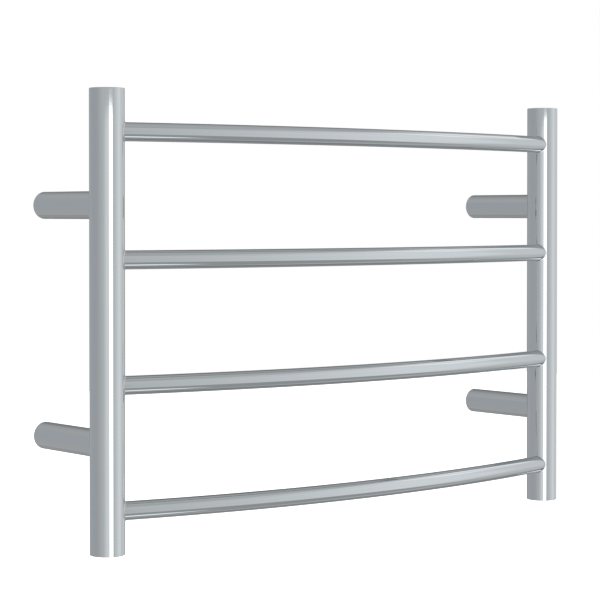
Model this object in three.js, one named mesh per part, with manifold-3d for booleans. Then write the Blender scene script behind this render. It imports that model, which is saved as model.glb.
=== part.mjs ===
// A wall-mounted electric towel warmer: two upright posts, four bowed rails and four stand-off
// tubes that slip over bosses screwed to the wall, with a dry heating cable inside.
//
// Millimetres. X runs along the rails, +Y points into the wall and +Z is up. The origin lies on
// the wall, midway between the four bosses, so the front of the rack faces -Y.

import * as THREE from 'three';
import { mergeVertices } from 'three/addons/utils/BufferGeometryUtils.js';
import Module from 'manifold-3d';

const wasm = await Module();
wasm.setup();

// ---------------------------------------------------------------- driving dimensions

const postSpacing = 560; // between the two post axes
const rackHeight = 420; // length of each post
const wallDistance = 105; // wall to post axis

const postDiameter = 32;
const postWall = 1.5;
const postChamfer = 0.5;

const railCount = 4;
const railDiameter = 17.2;
const railWall = 1.2;
const railEndMargin = 39; // post end to the axis of the nearest rail
const topGapExtra = 2.2; // the gap under the top rail is this much taller than the others
const railBow = 35; // how far a rail's middle stands ahead of its ends
const railSetForward = 2.5; // rail axis ahead of the post axis where they cross

const standoffDiameter = 25.4;
const standoffWall = 2;
const fixingFromBottom = 99; // post's lower end to the lower stand-off's axis
const fixingFromTop = 105; // post's upper end to the upper stand-off's axis
const wallGap = 0.3; // stand-off end to the wall

const bossLength = 25;
const bossChamfer = 1;
const bossFlatDepth = 3.2; // flat milled under the boss for the grub screw
const bossScrewHole = 5.2; // for one 5 mm countersunk wall screw
const bossCountersink = 10;
const leadHole = 7; // through the boss that the supply lead enters by
const leadScrewHole = 3.8; // two smaller screws hold that boss
const leadScrewOffset = 7.2;
const leadScrewEdge = 1.3; // that boss's rim to the near side of a screw hole

const grubDiameter = 5;
const grubLength = 5;
const grubSocketAcross = 2.5;
const grubSocketDepth = 2.2;
const grubTipChamfer = 0.6;
const grubFromWall = 12;

const capThickness = 4;
const capChamfer = 0.5;

const cableDiameter = 4;
const cableBendRadius = 12;
const cableEndDrop = 40; // how far the cable's far end hangs below the top rail
const cablePassage = 12; // hole from the lead-in stand-off into its post

const sealOuter = 6.4;
const sealBoreDepth = 12;
const sealLength = 18;

const jointOuter = 9;
const jointLength = 18;
const jointBoreDepth = 6;
const jointFromPost = 5; // joint's front end to the post's surface

const blockWidth = 16;
const blockHeight = 12;
const blockDepth = 14;
const blockCornerGap = 0.7; // block's long edges to the stand-off's bore
const blockFromBoss = 6;
const terminalPitch = 5;
const terminalBore = 2.8;
const terminalWell = 3.4;
const terminalScrewSlot = 0.6;
const wireDiameter = 1.8;
const wireEntry = 9; // how far a wire reaches into the block
const wireStraight = 0.5; // how far it comes out of the block before it turns

const cutoutDiameter = 4;
const cutoutLength = 10;
const cutoutFromBlock = 5;
const cutoutToJoint = 6;

const grommetBore = 5;
const grommetLip = 7.8;
const grommetLipThickness = 1;
const grommetLength = 18;

const tagThickness = 0.8;
const tagDiameter = 7.4;
const tagFromBlock = 14;
const tagBarrelLength = 5;
const studDiameter = 3;
const studLength = 5;
const nutAcross = 5.5;
const nutThickness = 2.4;

const contactGap = 0.3; // between pieces that touch or are welded
const screwGap = 0.2; // around a screw in its thread

const postSides = 36;
const railSides = 20;
const railSteps = 14;
const cableSides = 6;
const smallSides = 12;

// ---------------------------------------------------------------- values worked out from them

const postRadius = postDiameter / 2;
const postBore = postRadius - postWall;
const railRadius = railDiameter / 2;
const railBore = railRadius - railWall;
const standoffRadius = standoffDiameter / 2;
const standoffBore = standoffRadius - standoffWall;
const bossRadius = standoffBore - contactGap;
const flatHeight = bossRadius - bossFlatDepth; // boss axis to its milled flat
const cableRadius = cableDiameter / 2;
const wireRadius = wireDiameter / 2;

const halfSpacing = postSpacing / 2;
const postY = -wallDistance;
const fixingSpacing = rackHeight - fixingFromBottom - fixingFromTop;
const lowerFixingZ = -fixingSpacing / 2;
const upperFixingZ = fixingSpacing / 2;
const bottomZ = lowerFixingZ - fixingFromBottom;
const topZ = upperFixingZ + fixingFromTop;
const railPitch = (rackHeight - 2 * railEndMargin - topGapExtra) / (railCount - 1);
const railHeights = [];
for (let i = 0; i < railCount - 1; i++) railHeights.push(bottomZ + railEndMargin + i * railPitch);
railHeights.push(topZ - railEndMargin);

const railEndY = postY - railSetForward; // where the rail axis crosses the post axis
const bowRadius = (halfSpacing ** 2 + railBow ** 2) / (2 * railBow);
const bowCentreY = railEndY - railBow + bowRadius;
const bowAngleAt = (x) => Math.asin(x / bowRadius);
// A rail ends just inside the post, where its widest side has passed through the wall.
const railReach = Math.sqrt(postBore ** 2 - (railRadius + railSetForward) ** 2) - contactGap;

// A boss's holes and the grommet follow the boss, and the terminal block fills its stand-off.
const bossFit = bossRadius / (leadScrewOffset + leadScrewHole / 2 + leadScrewEdge);
const blockFit = (standoffBore - blockCornerGap) / Math.hypot(blockWidth / 2, blockHeight / 2);
const fittedWidth = blockWidth * blockFit;
const fittedHeight = blockHeight * blockFit;
const fittedPitch = terminalPitch * blockFit;

// The inner pieces share the room between boss and post in the proportions of their lengths.
const blockRoom = blockFromBoss + blockDepth;
const cutoutRoom = cutoutFromBlock + cutoutLength + cutoutToJoint;
const jointRoom = jointLength + jointFromPost;
const lengthFit = (wallDistance - postRadius - bossLength) / (blockRoom + cutoutRoom + jointRoom);
const blockBackY = -bossLength - blockFromBoss * lengthFit;
const blockFrontY = blockBackY - blockDepth * lengthFit;
const cutoutBackY = blockFrontY - cutoutFromBlock * lengthFit;
const cutoutFrontY = cutoutBackY - cutoutLength * lengthFit;
const jointBackY = cutoutFrontY - cutoutToJoint * lengthFit;
const jointFrontY = jointBackY - jointLength * lengthFit;

// ---------------------------------------------------------------- materials

const metal = (color, roughness) => new THREE.MeshStandardMaterial({ color, roughness, metalness: 1 });
const plastic = (color, roughness) => new THREE.MeshStandardMaterial({ color, roughness, metalness: 0 });

const polishedTube = () => metal(0xb4b9bc, 0.1);
const turnedSteel = () => metal(0x9a9c9e, 0.35);
const screwSteel = () => metal(0x6f7173, 0.4);
const tinnedBrass = () => metal(0xb9b08c, 0.35);
const siliconeRed = () => plastic(0x9c2f22, 0.6);
const shrinkBlack = () => plastic(0x161617, 0.55);
const nylonWhite = () => plastic(0xe6e4dc, 0.5);
const rubberGrey = () => plastic(0x3a3b3c, 0.75);
const liveBrown = () => plastic(0x5d3420, 0.45);
const neutralBlue = () => plastic(0x24539c, 0.45);
const earthGreen = () => plastic(0x3c8a2e, 0.45);

// ---------------------------------------------------------------- solids

function toSolid(geometry) {
  const bare = geometry.clone();
  bare.deleteAttribute('normal');
  bare.deleteAttribute('uv');
  const merged = mergeVertices(bare);
  const corners = merged.index.array;
  const triVerts = [];
  for (let i = 0; i < corners.length; i += 3) {
    const [a, b, c] = [corners[i], corners[i + 1], corners[i + 2]];
    if (a !== b && b !== c && c !== a) triVerts.push(a, b, c);
  }
  const vertProperties = new Float32Array(merged.attributes.position.array);
  const mesh = new wasm.Mesh({ numProp: 3, vertProperties, triVerts: new Uint32Array(triVerts) });
  return new wasm.Manifold(mesh);
}

function toGeometry(solid) {
  const mesh = solid.getMesh();
  const geometry = new THREE.BufferGeometry();
  geometry.setAttribute('position', new THREE.BufferAttribute(mesh.vertProperties, 3));
  geometry.setIndex(new THREE.BufferAttribute(mesh.triVerts, 1));
  geometry.computeVertexNormals();
  return geometry;
}

// Cuts each of the tools out of the body.
function cut(body, tools) {
  let solid = toSolid(body);
  for (const tool of tools) solid = solid.subtract(toSolid(tool));
  return toGeometry(solid);
}

// A turned shape about Z: its outline runs from the bottom outwards, up and back, as [radius, z].
function turned(outline, sides) {
  const points = outline.map(([radius, z]) => new THREE.Vector2(radius, z));
  return new THREE.LatheGeometry(points, sides).rotateX(Math.PI / 2);
}

// A plain rod about Z, from z = 0 up.
function rod(radius, length, sides) {
  return new THREE.CylinderGeometry(radius, radius, length, sides)
    .rotateX(Math.PI / 2)
    .translate(0, 0, length / 2);
}

// Turns a shape made along +Z so that it runs along +Y.
const alongY = (geometry) => geometry.rotateX(-Math.PI / 2);

function circle(radius, sides) {
  const points = [];
  for (let i = 0; i < sides; i++) {
    const angle = (2 * Math.PI * i) / sides;
    points.push(new THREE.Vector2(radius * Math.cos(angle), radius * Math.sin(angle)));
  }
  return points;
}

function ringShape(outer, bore, sides) {
  const shape = new THREE.Shape(circle(outer, sides));
  if (bore > 0) shape.holes.push(new THREE.Path(circle(bore, sides).reverse()));
  return shape;
}

// A curve through the points that puts one section of a tube at each of them.
class PointRoute extends THREE.CatmullRomCurve3 {
  constructor(points) {
    super(points, false, 'centripetal');
  }
  getUtoTmapping(u) {
    return u;
  }
}

function swept(points, radius, sides) {
  const options = { steps: points.length - 1, bevelEnabled: false };
  options.extrudePath = new PointRoute(points);
  return new THREE.ExtrudeGeometry(ringShape(radius, 0, sides), options);
}

// The level arc that every rail's axis follows.
class RailArc extends THREE.Curve {
  constructor(fromX, toX, z) {
    super();
    this.from = bowAngleAt(fromX);
    this.to = bowAngleAt(toX);
    this.z = z;
  }
  getPoint(t, target = new THREE.Vector3()) {
    const angle = this.from + (this.to - this.from) * t;
    const y = bowCentreY - bowRadius * Math.cos(angle);
    return target.set(bowRadius * Math.sin(angle), y, this.z);
  }
}

function bowedTube(fromX, toX, z, outer, bore, steps) {
  const options = { steps, bevelEnabled: false, extrudePath: new RailArc(fromX, toX, z) };
  return new THREE.ExtrudeGeometry(ringShape(outer, bore, railSides), options);
}

const rack = new THREE.Group();

function add(name, geometry, material, x = 0, y = 0, z = 0) {
  const mesh = new THREE.Mesh(geometry, material);
  mesh.name = name;
  mesh.position.set(x, y, z);
  rack.add(mesh);
}

// ---------------------------------------------------------------- posts and their end caps

const sides = [
  { name: 'left', x: -halfSpacing },
  { name: 'right', x: halfSpacing },
];

// The hole that a rail leaves in a post: the rail's own arc, a contact gap larger all round.
function railHole(side, z) {
  const inwards = side.x < 0 ? 1 : -1;
  const outside = side.x + inwards * (postRadius + railRadius);
  const inside = side.x + (inwards * railReach) / 2;
  const fromX = Math.min(outside, inside);
  const toX = Math.max(outside, inside);
  return bowedTube(fromX, toX, z, railRadius + contactGap, 0, 4);
}

function post(side) {
  const tube = turned(
    [
      [postBore, bottomZ],
      [postRadius - postChamfer, bottomZ],
      [postRadius, bottomZ + postChamfer],
      [postRadius, topZ - postChamfer],
      [postRadius - postChamfer, topZ],
      [postBore, topZ],
      [postBore, bottomZ],
    ],
    postSides,
  ).translate(side.x, postY, 0);
  const holes = railHeights.map((z) => railHole(side, z));
  if (side.name === 'left') {
    const passage = alongY(rod(cablePassage / 2, postRadius * 2, smallSides));
    holes.push(passage.translate(side.x, postY, lowerFixingZ));
  }
  return cut(tube, holes).translate(-side.x, -postY, 0);
}

function postCap() {
  const radius = postBore - contactGap;
  return turned(
    [
      [0, 0],
      [radius, 0],
      [radius, capThickness - capChamfer],
      [radius - capChamfer, capThickness],
      [0, capThickness],
    ],
    postSides,
  );
}

for (const side of sides) {
  add(`${side.name}_post`, post(side), polishedTube(), side.x, postY, 0);
  add(`${side.name}_post_top_cap`, postCap(), polishedTube(), side.x, postY, topZ - capThickness);
  const bottomCap = postCap().rotateX(Math.PI);
  add(`${side.name}_post_bottom_cap`, bottomCap, polishedTube(), side.x, postY, bottomZ + capThickness);
}

// ---------------------------------------------------------------- rails

const railNames = ['bottom_rail', 'lower_middle_rail', 'upper_middle_rail', 'top_rail'];
const railEndX = halfSpacing - railReach;

railHeights.forEach((z, i) => {
  const tube = bowedTube(-railEndX, railEndX, 0, railRadius, railBore, railSteps);
  add(railNames[i], tube, polishedTube(), 0, 0, z);
});

// ---------------------------------------------------------------- stand-offs, bosses, grub screws

const fixings = [];
for (const side of sides) {
  fixings.push({ name: `lower_${side.name}`, x: side.x, z: lowerFixingZ });
  fixings.push({ name: `upper_${side.name}`, x: side.x, z: upperFixingZ });
}
const leadInName = 'lower_left';

// A tube from the post's side to the wall, hollowed at the front to sit round the post.
function standoff() {
  const length = wallDistance - wallGap;
  const tube = new THREE.ExtrudeGeometry(ringShape(standoffRadius, standoffBore, postSides), {
    depth: length,
    bevelEnabled: false,
  });
  const saddle = rod(postRadius + contactGap, standoffDiameter * 2, postSides)
    .translate(0, 0, -standoffDiameter)
    .translate(0, -wallDistance, 0);
  const grubHole = rod(grubDiameter / 2 + screwGap, standoffRadius * 2, smallSides)
    .rotateX(Math.PI)
    .translate(0, -grubFromWall, 0);
  return cut(alongY(tube).translate(0, -wallDistance, 0), [saddle, grubHole]);
}

// A spigot with its back on the wall and a flat along its underside.
function boss(isLeadIn) {
  const body = alongY(
    turned(
      [
        [0, 0],
        [bossRadius - bossChamfer, 0],
        [bossRadius, bossChamfer],
        [bossRadius, bossLength],
        [0, bossLength],
      ],
      postSides,
    ),
  ).translate(0, -bossLength, 0);
  const belowFlat = new THREE.BoxGeometry(bossRadius * 3, bossLength * 3, bossRadius * 2).translate(
    0,
    0,
    -flatHeight - bossRadius,
  );
  const through = (diameter, x) =>
    alongY(rod((diameter / 2) * bossFit, bossLength * 3, smallSides)).translate(x, -bossLength * 2, 0);
  if (isLeadIn) {
    const offset = leadScrewOffset * bossFit;
    const screwHoles = [-offset, offset].map((x) => through(leadScrewHole, x));
    return cut(body, [belowFlat, through(leadHole, 0), ...screwHoles]);
  }
  const sinkRadius = (bossCountersink / 2) * bossFit;
  const sink = alongY(
    turned(
      [
        [0, -1],
        [sinkRadius + 1, -1],
        [0, sinkRadius],
      ],
      smallSides,
    ),
  ).translate(0, -bossLength, 0);
  return cut(body, [belowFlat, through(bossScrewHole, 0), sink]);
}

// Runs down from z = 0, its cup tip at the top and its hexagon socket underneath.
function grubScrew() {
  const radius = grubDiameter / 2;
  const body = turned(
    [
      [0, -grubLength],
      [radius - grubTipChamfer / 2, -grubLength],
      [radius, -grubLength + grubTipChamfer / 2],
      [radius, -grubTipChamfer],
      [radius - grubTipChamfer, 0],
      [0, 0],
    ],
    smallSides,
  );
  const socketRadius = grubSocketAcross / Math.sqrt(3);
  const socket = rod(socketRadius, grubSocketDepth + 1, 6).translate(0, 0, -grubLength - 1);
  return cut(body, [socket]);
}

for (const fixing of fixings) {
  const { name, x, z } = fixing;
  const tipZ = z - flatHeight - contactGap;
  add(`${name}_standoff`, standoff(), polishedTube(), x, 0, z);
  add(`${name}_wall_boss`, boss(name === leadInName), turnedSteel(), x, 0, z);
  add(`${name}_grub_screw`, grubScrew(), screwSteel(), x, -grubFromWall, tipZ);
}

// ---------------------------------------------------------------- heating cable and its ends

const leadInX = -halfSpacing;
const leadInZ = lowerFixingZ;

// Points of a quarter bend that leaves `corner` along -before and ends along +after.
function bend(corner, before, after, radius) {
  const points = [];
  const steps = 4;
  for (let i = 0; i <= steps; i++) {
    const angle = (Math.PI / 2) * (i / steps);
    const back = radius * (1 - Math.sin(angle));
    const on = radius * (1 - Math.cos(angle));
    points.push(corner.clone().addScaledVector(before, -back).addScaledVector(after, on));
  }
  return points;
}

// Direction along the rail axis at a post, pointing into the rack from that side.
function inwardsAlongRail(sideSign) {
  const slope = bowAngleAt(halfSpacing);
  return new THREE.Vector3(-sideSign * Math.cos(slope), -Math.sin(slope), 0);
}

function cableRoute() {
  const up = new THREE.Vector3(0, 0, 1);
  const down = new THREE.Vector3(0, 0, -1);
  const forwards = new THREE.Vector3(0, -1, 0);
  const firstCorner = new THREE.Vector3(leadInX, railEndY, leadInZ);
  const startY = jointFrontY + jointBoreDepth * lengthFit - contactGap;
  const start = new THREE.Vector3(leadInX, startY, leadInZ);
  const points = [start, ...bend(firstCorner, forwards, down, cableBendRadius)];
  let sideSign = -1;
  let vertical = down;
  for (const z of railHeights) {
    const entry = new THREE.Vector3(sideSign * halfSpacing, railEndY, z);
    const exit = new THREE.Vector3(-sideSign * halfSpacing, railEndY, z);
    const inwards = inwardsAlongRail(sideSign);
    const outwards = inwardsAlongRail(-sideSign).negate();
    points.push(...bend(entry, vertical, inwards, cableBendRadius));
    const stretch = halfSpacing - cableBendRadius * 2;
    const arc = new RailArc(sideSign * stretch, -sideSign * stretch, z);
    points.push(...arc.getPoints(railSteps));
    vertical = z === railHeights[railCount - 1] ? down : up;
    points.push(...bend(exit, outwards, vertical, cableBendRadius));
    sideSign = -sideSign;
  }
  const lastZ = railHeights[railCount - 1] - cableEndDrop;
  points.push(new THREE.Vector3(sideSign * halfSpacing, railEndY, lastZ));
  return points;
}

const route = cableRoute();
const cableEnd = route[route.length - 1];
add('heating_cable', swept(route, cableRadius, cableSides), siliconeRed());

// A closed cap over the cable's far end, its mouth at the top.
const sealBore = cableRadius + contactGap;
const endSeal = turned(
  [
    [0, -sealLength],
    [sealOuter / 2, -sealLength],
    [sealOuter / 2, 0],
    [sealBore, 0],
    [sealBore, -sealBoreDepth],
    [0, -sealBoreDepth],
  ],
  smallSides,
);
const sealTopZ = cableEnd.z + sealBoreDepth - contactGap;
add('cable_end_seal', endSeal, shrinkBlack(), cableEnd.x, cableEnd.y, sealTopZ);

// The moulded joint between the cable and its connecting wires, its bore facing the post.
const coldJoint = alongY(
  turned(
    [
      [0, jointBoreDepth * lengthFit],
      [sealBore, jointBoreDepth * lengthFit],
      [sealBore, 0],
      [jointOuter / 2, 0],
      [jointOuter / 2, jointLength * lengthFit],
      [0, jointLength * lengthFit],
    ],
    smallSides,
  ),
);
add('cold_joint_sleeve', coldJoint, shrinkBlack(), leadInX, jointFrontY, leadInZ);

// ---------------------------------------------------------------- terminal block and wiring

const terminals = [
  { name: 'earth', x: -fittedPitch },
  { name: 'neutral', x: 0 },
  { name: 'live', x: fittedPitch },
];

function terminalBlock() {
  const depth = blockDepth * lengthFit;
  const body = new THREE.BoxGeometry(fittedWidth, depth, fittedHeight);
  const tools = [];
  for (const terminal of terminals) {
    const bore = alongY(rod(terminalBore / 2, depth * 2, smallSides));
    tools.push(bore.translate(terminal.x, -depth, 0));
    tools.push(rod(terminalWell / 2, fittedHeight, smallSides).translate(terminal.x, 0, 0));
  }
  return cut(body, tools);
}

const screwTipZ = wireRadius + contactGap;
const screwTopZ = fittedHeight / 2 - contactGap;

function terminalScrew() {
  const length = screwTopZ - screwTipZ;
  const body = rod(terminalWell / 2 - contactGap, length, smallSides);
  const slot = new THREE.BoxGeometry(terminalWell * 2, terminalScrewSlot, terminalScrewSlot * 2);
  return cut(body, [slot.translate(0, 0, length)]);
}

const blockY = (blockBackY + blockFrontY) / 2;
add('terminal_block', terminalBlock(), nylonWhite(), leadInX, blockY, leadInZ);
for (const terminal of terminals) {
  const name = `${terminal.name}_terminal_screw`;
  add(name, terminalScrew(), screwSteel(), leadInX + terminal.x, blockY, leadInZ + screwTipZ);
}

// A level wire that runs straight along Y at both ends and moves across between turnY and backY.
function wire(from, turnY, backY, to) {
  const points = [];
  const steps = 8;
  if (from.y > turnY) points.push(from);
  for (let i = 0; i <= steps; i++) {
    const t = i / steps;
    const ease = t * t * (3 - 2 * t);
    const x = from.x + (to.x - from.x) * ease;
    points.push(new THREE.Vector3(x, turnY + (backY - turnY) * t, from.z));
  }
  if (to.y < backY) points.push(to);
  return swept(points, wireRadius, cableSides);
}

const wireStartY = blockFrontY + wireEntry * lengthFit;
const wireTurnY = blockFrontY - wireStraight;
const jointFaceY = jointBackY + contactGap;
const wireSpread = wireDiameter; // between the wires where they enter the cold joint

const liveX = leadInX + fittedPitch;
const liveStart = new THREE.Vector3(liveX, wireStartY, leadInZ);
const liveEnd = new THREE.Vector3(liveX, cutoutBackY + contactGap, leadInZ);
add('live_wire', wire(liveStart, wireTurnY, liveEnd.y, liveEnd), liveBrown());

const cutoutBody = alongY(
  turned(
    [
      [0, 0],
      [cutoutDiameter / 2 - capChamfer, 0],
      [cutoutDiameter / 2, capChamfer],
      [cutoutDiameter / 2, cutoutLength * lengthFit],
      [0, cutoutLength * lengthFit],
    ],
    smallSides,
  ),
);
add('thermal_cutout', cutoutBody, tinnedBrass(), liveX, cutoutFrontY, leadInZ);

const cutoutWireStart = new THREE.Vector3(liveX, cutoutFrontY - contactGap, leadInZ);
const cutoutWireEnd = new THREE.Vector3(leadInX + wireSpread, jointFaceY, leadInZ);
const cutoutWire = wire(cutoutWireStart, cutoutWireStart.y, jointFaceY, cutoutWireEnd);
add('cutout_wire', cutoutWire, liveBrown());

const neutralStart = new THREE.Vector3(leadInX, wireStartY, leadInZ);
const neutralEnd = new THREE.Vector3(leadInX - wireSpread, jointFaceY, leadInZ);
add('neutral_wire', wire(neutralStart, wireTurnY, jointFaceY, neutralEnd), neutralBlue());

// ---------------------------------------------------------------- earth stud, tag, nut and wire

// The tag stands against the bore of the stand-off, on the side away from the other post.
const tagRadius = tagDiameter / 2;
const tagFaceX = -Math.sqrt(standoffBore ** 2 - tagRadius ** 2) + contactGap;
const studY = blockFrontY - tagFromBlock * lengthFit;
const barrelOuter = wireRadius + contactGap + tagThickness;
const barrelFrom = nutAcross / 2 + contactGap; // stud axis to the barrel's near end

const alongX = (geometry) => geometry.rotateY(Math.PI / 2);

function earthTag() {
  const plate = new THREE.Shape(circle(tagRadius, smallSides));
  const hole = circle(studDiameter / 2 + screwGap, smallSides).reverse();
  plate.holes.push(new THREE.Path(hole));
  const ring = alongX(new THREE.ExtrudeGeometry(plate, { depth: tagThickness, bevelEnabled: false }));
  const barrelTube = new THREE.ExtrudeGeometry(
    ringShape(barrelOuter, wireRadius + contactGap, smallSides),
    { depth: tagBarrelLength * lengthFit, bevelEnabled: false },
  );
  const barrel = alongY(barrelTube).translate(barrelOuter, barrelFrom, 0);
  return toGeometry(toSolid(ring).add(toSolid(barrel)));
}

add('earth_tag', earthTag(), tinnedBrass(), leadInX + tagFaceX, studY, leadInZ);

const studBaseX = -standoffBore + contactGap;
const stud = alongX(rod(studDiameter / 2, studLength, smallSides));
add('earth_stud', stud, screwSteel(), leadInX + studBaseX, studY, leadInZ);

const nutShape = new THREE.Shape(circle(nutAcross / Math.sqrt(3), 6));
nutShape.holes.push(new THREE.Path(circle(studDiameter / 2 + screwGap, smallSides).reverse()));
const nut = alongX(new THREE.ExtrudeGeometry(nutShape, { depth: nutThickness, bevelEnabled: false }));
const nutX = tagFaceX + tagThickness + contactGap;
add('earth_nut', nut, screwSteel(), leadInX + nutX, studY, leadInZ);

const barrelMouthY = studY + barrelFrom + tagBarrelLength * lengthFit;
const earthStart = new THREE.Vector3(leadInX - fittedPitch, wireStartY, leadInZ);
const earthEnd = new THREE.Vector3(leadInX + tagFaceX + barrelOuter, studY + tagRadius, leadInZ);
add('earth_wire', wire(earthStart, wireTurnY, barrelMouthY, earthEnd), earthGreen());

// ---------------------------------------------------------------- grommet for the supply lead

const grommetBoreRadius = (grommetBore / 2) * bossFit;
const grommetLipRadius = (grommetLip / 2) * bossFit;
const grommetRadius = (leadHole / 2) * bossFit - contactGap;
const grommet = alongY(
  turned(
    [
      [grommetBoreRadius, 0],
      [grommetLipRadius, 0],
      [grommetLipRadius, grommetLipThickness],
      [grommetRadius, grommetLipThickness],
      [grommetRadius, grommetLength],
      [grommetBoreRadius, grommetLength],
      [grommetBoreRadius, 0],
    ],
    smallSides,
  ),
);
const grommetFrontY = -bossLength - grommetLipThickness - contactGap;
add('lead_in_grommet', grommet, rubberGrey(), leadInX, grommetFrontY, leadInZ);

export default rack;
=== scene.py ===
# A wall-mounted towel warmer rack in polished stainless tube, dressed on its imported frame.
import math
import bpy
import numpy as np
from mathutils import Matrix, Vector


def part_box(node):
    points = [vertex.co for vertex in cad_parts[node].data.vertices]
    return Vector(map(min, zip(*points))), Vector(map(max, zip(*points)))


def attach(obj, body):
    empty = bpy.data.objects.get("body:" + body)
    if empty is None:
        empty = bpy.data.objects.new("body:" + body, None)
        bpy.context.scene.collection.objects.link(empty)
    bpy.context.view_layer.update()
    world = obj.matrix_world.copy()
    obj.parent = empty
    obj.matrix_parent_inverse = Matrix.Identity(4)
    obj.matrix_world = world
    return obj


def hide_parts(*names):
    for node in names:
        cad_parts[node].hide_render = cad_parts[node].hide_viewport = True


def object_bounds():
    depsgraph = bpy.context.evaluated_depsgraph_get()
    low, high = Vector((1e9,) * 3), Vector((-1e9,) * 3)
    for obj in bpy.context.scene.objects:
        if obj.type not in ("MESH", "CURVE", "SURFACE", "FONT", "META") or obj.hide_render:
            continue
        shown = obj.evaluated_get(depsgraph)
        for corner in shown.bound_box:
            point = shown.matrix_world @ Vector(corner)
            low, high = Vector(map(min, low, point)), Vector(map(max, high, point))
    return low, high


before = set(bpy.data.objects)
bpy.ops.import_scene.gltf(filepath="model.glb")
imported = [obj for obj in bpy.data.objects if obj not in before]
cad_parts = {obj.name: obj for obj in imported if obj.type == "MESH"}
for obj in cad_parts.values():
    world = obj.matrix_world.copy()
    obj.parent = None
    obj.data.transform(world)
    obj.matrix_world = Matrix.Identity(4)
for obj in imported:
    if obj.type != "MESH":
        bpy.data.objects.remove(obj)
cadLow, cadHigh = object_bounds()
scene = bpy.context.scene
mm = 0.001
corners = ["lower_left", "upper_left", "lower_right", "upper_right"]
railNames = ["bottom_rail", "lower_middle_rail", "upper_middle_rail", "top_rail"]


# ---- small helpers

def linearColour(hexText):
    # an sRGB hex value as the linear colour that shaders take
    channels = [int(hexText[i:i + 2], 16) / 255 for i in (1, 3, 5)]
    return [c / 12.92 if c <= 0.04045 else ((c + 0.055) / 1.055) ** 2.4 for c in channels] + [1.0]


def addNode(tree, kind, inputs=None, **settings):
    node = tree.nodes.new(kind)
    for name, value in settings.items():
        setattr(node, name, value)
    for name, value in (inputs or {}).items():
        if isinstance(value, bpy.types.NodeSocket):
            tree.links.new(value, node.inputs[name])
        else:
            node.inputs[name].default_value = value
    return node


def setRamp(node, stops):
    elements = node.color_ramp.elements
    while len(elements) < len(stops):
        elements.new(0.5)
    for element, (position, colour) in zip(elements, stops):
        element.position = position
        element.color = colour


def linkObject(name, mesh, material):
    obj = bpy.data.objects.new(name, mesh)
    scene.collection.objects.link(obj)
    mesh.materials.clear()
    mesh.materials.append(material)
    return obj


def meshFrom(name, vertices, faces):
    mesh = bpy.data.meshes.new(name)
    mesh.from_pydata([tuple(v) for v in vertices], [], faces)
    mesh.validate()
    mesh.shade_smooth()
    return mesh


def bakeObject(obj):
    # the object's modifiers turned into a plain mesh
    bpy.context.view_layer.update()
    shown = obj.evaluated_get(bpy.context.evaluated_depsgraph_get())
    mesh = bpy.data.meshes.new_from_object(shown)
    obj.modifiers.clear()
    obj.data = mesh


def revolve(name, profile, sides, closed):
    # turns a profile of (radius, height) points about Z; it goes up on the outside
    vertices, rings = [], []
    for radius, height in profile:
        if radius < 1e-9:
            rings.append([len(vertices)] * sides)
            vertices.append((0, 0, height))
            continue
        rings.append(range(len(vertices), len(vertices) + sides))
        for k in range(sides):
            angle = 2 * math.pi * k / sides
            vertices.append((radius * math.cos(angle), radius * math.sin(angle), height))
    faces = []
    for j in range(len(rings) if closed else len(rings) - 1):
        low, high = rings[j], rings[(j + 1) % len(rings)]
        for k in range(sides):
            n = (k + 1) % sides
            face = [low[k], low[n], high[n], high[k]]
            face = [v for i, v in enumerate(face) if v != face[i - 1]]
            if len(face) > 2:
                faces.append(face)
    return meshFrom(name, vertices, faces)


def roundedCorner(radius, height, size, start, steps):
    # a quarter arc of the given size about (radius, height), from the start angle on
    points = []
    for i in range(steps + 1):
        angle = math.radians(start + 90 * i / steps)
        points.append((radius + size * math.cos(angle), height + size * math.sin(angle)))
    return points


def cutOut(obj, cutters):
    for cutter in cutters:
        modifier = obj.modifiers.new("cut", "BOOLEAN")
        modifier.operation = "DIFFERENCE"
        modifier.solver = "EXACT"
        modifier.object = cutter
    bakeObject(obj)
    for cutter in cutters:
        bpy.data.objects.remove(cutter)


def cutter(mesh):
    obj = bpy.data.objects.new("cutter", mesh)
    scene.collection.objects.link(obj)
    return obj


def shadeRound(obj, centre, axis):
    # true cylinder normals on the round faces, so that a mirror finish shows no facets
    mesh = obj.data
    mesh.shade_smooth()
    mesh.set_sharp_from_angle(angle=math.radians(30))
    normals = [Vector(n.vector) for n in mesh.corner_normals]
    along = Vector(axis)
    for polygon in mesh.polygons:
        if abs(polygon.normal.dot(along)) > 0.02:
            continue
        for loopIndex in polygon.loop_indices:
            point = mesh.vertices[mesh.loops[loopIndex].vertex_index].co
            radial = point - Vector(centre)
            radial = (radial - along * radial.dot(along)).normalized()
            facing = radial.dot(polygon.normal)
            if abs(facing) > 0.985:
                normals[loopIndex] = radial if facing > 0 else -radial
    mesh.normals_split_custom_set(normals)


def finishPiece(obj, body, slotName, *nodes):
    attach(obj, body)
    if nodes:
        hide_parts(*nodes)


# ---- measures taken from the frame

postLow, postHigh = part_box("left_post")
railLow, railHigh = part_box("top_rail")
bossLow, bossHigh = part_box("upper_left_wall_boss")
tubeLow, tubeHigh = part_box("upper_left_standoff")
postX = (postLow[0] + postHigh[0]) / -2
postY = (postLow[1] + postHigh[1]) / 2
postRadius = (postHigh[0] - postLow[0]) / 2
railRadius = (railHigh[2] - railLow[2]) / 2
railHeights = [(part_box(n)[0][2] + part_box(n)[1][2]) / 2 for n in railNames]
standoffRadius = (tubeHigh[0] - tubeLow[0]) / 2
fixingX = postX
fixingZ = (tubeLow[2] + tubeHigh[2]) / 2
bossRadius = (bossHigh[0] - bossLow[0]) / 2
bossLength = bossHigh[1] - bossLow[1]


# ---- materials

def newMaterial(name):
    material = bpy.data.materials.new(name)
    material.use_nodes = True
    return material, material.node_tree, material.node_tree.nodes["Principled BSDF"]


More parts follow.
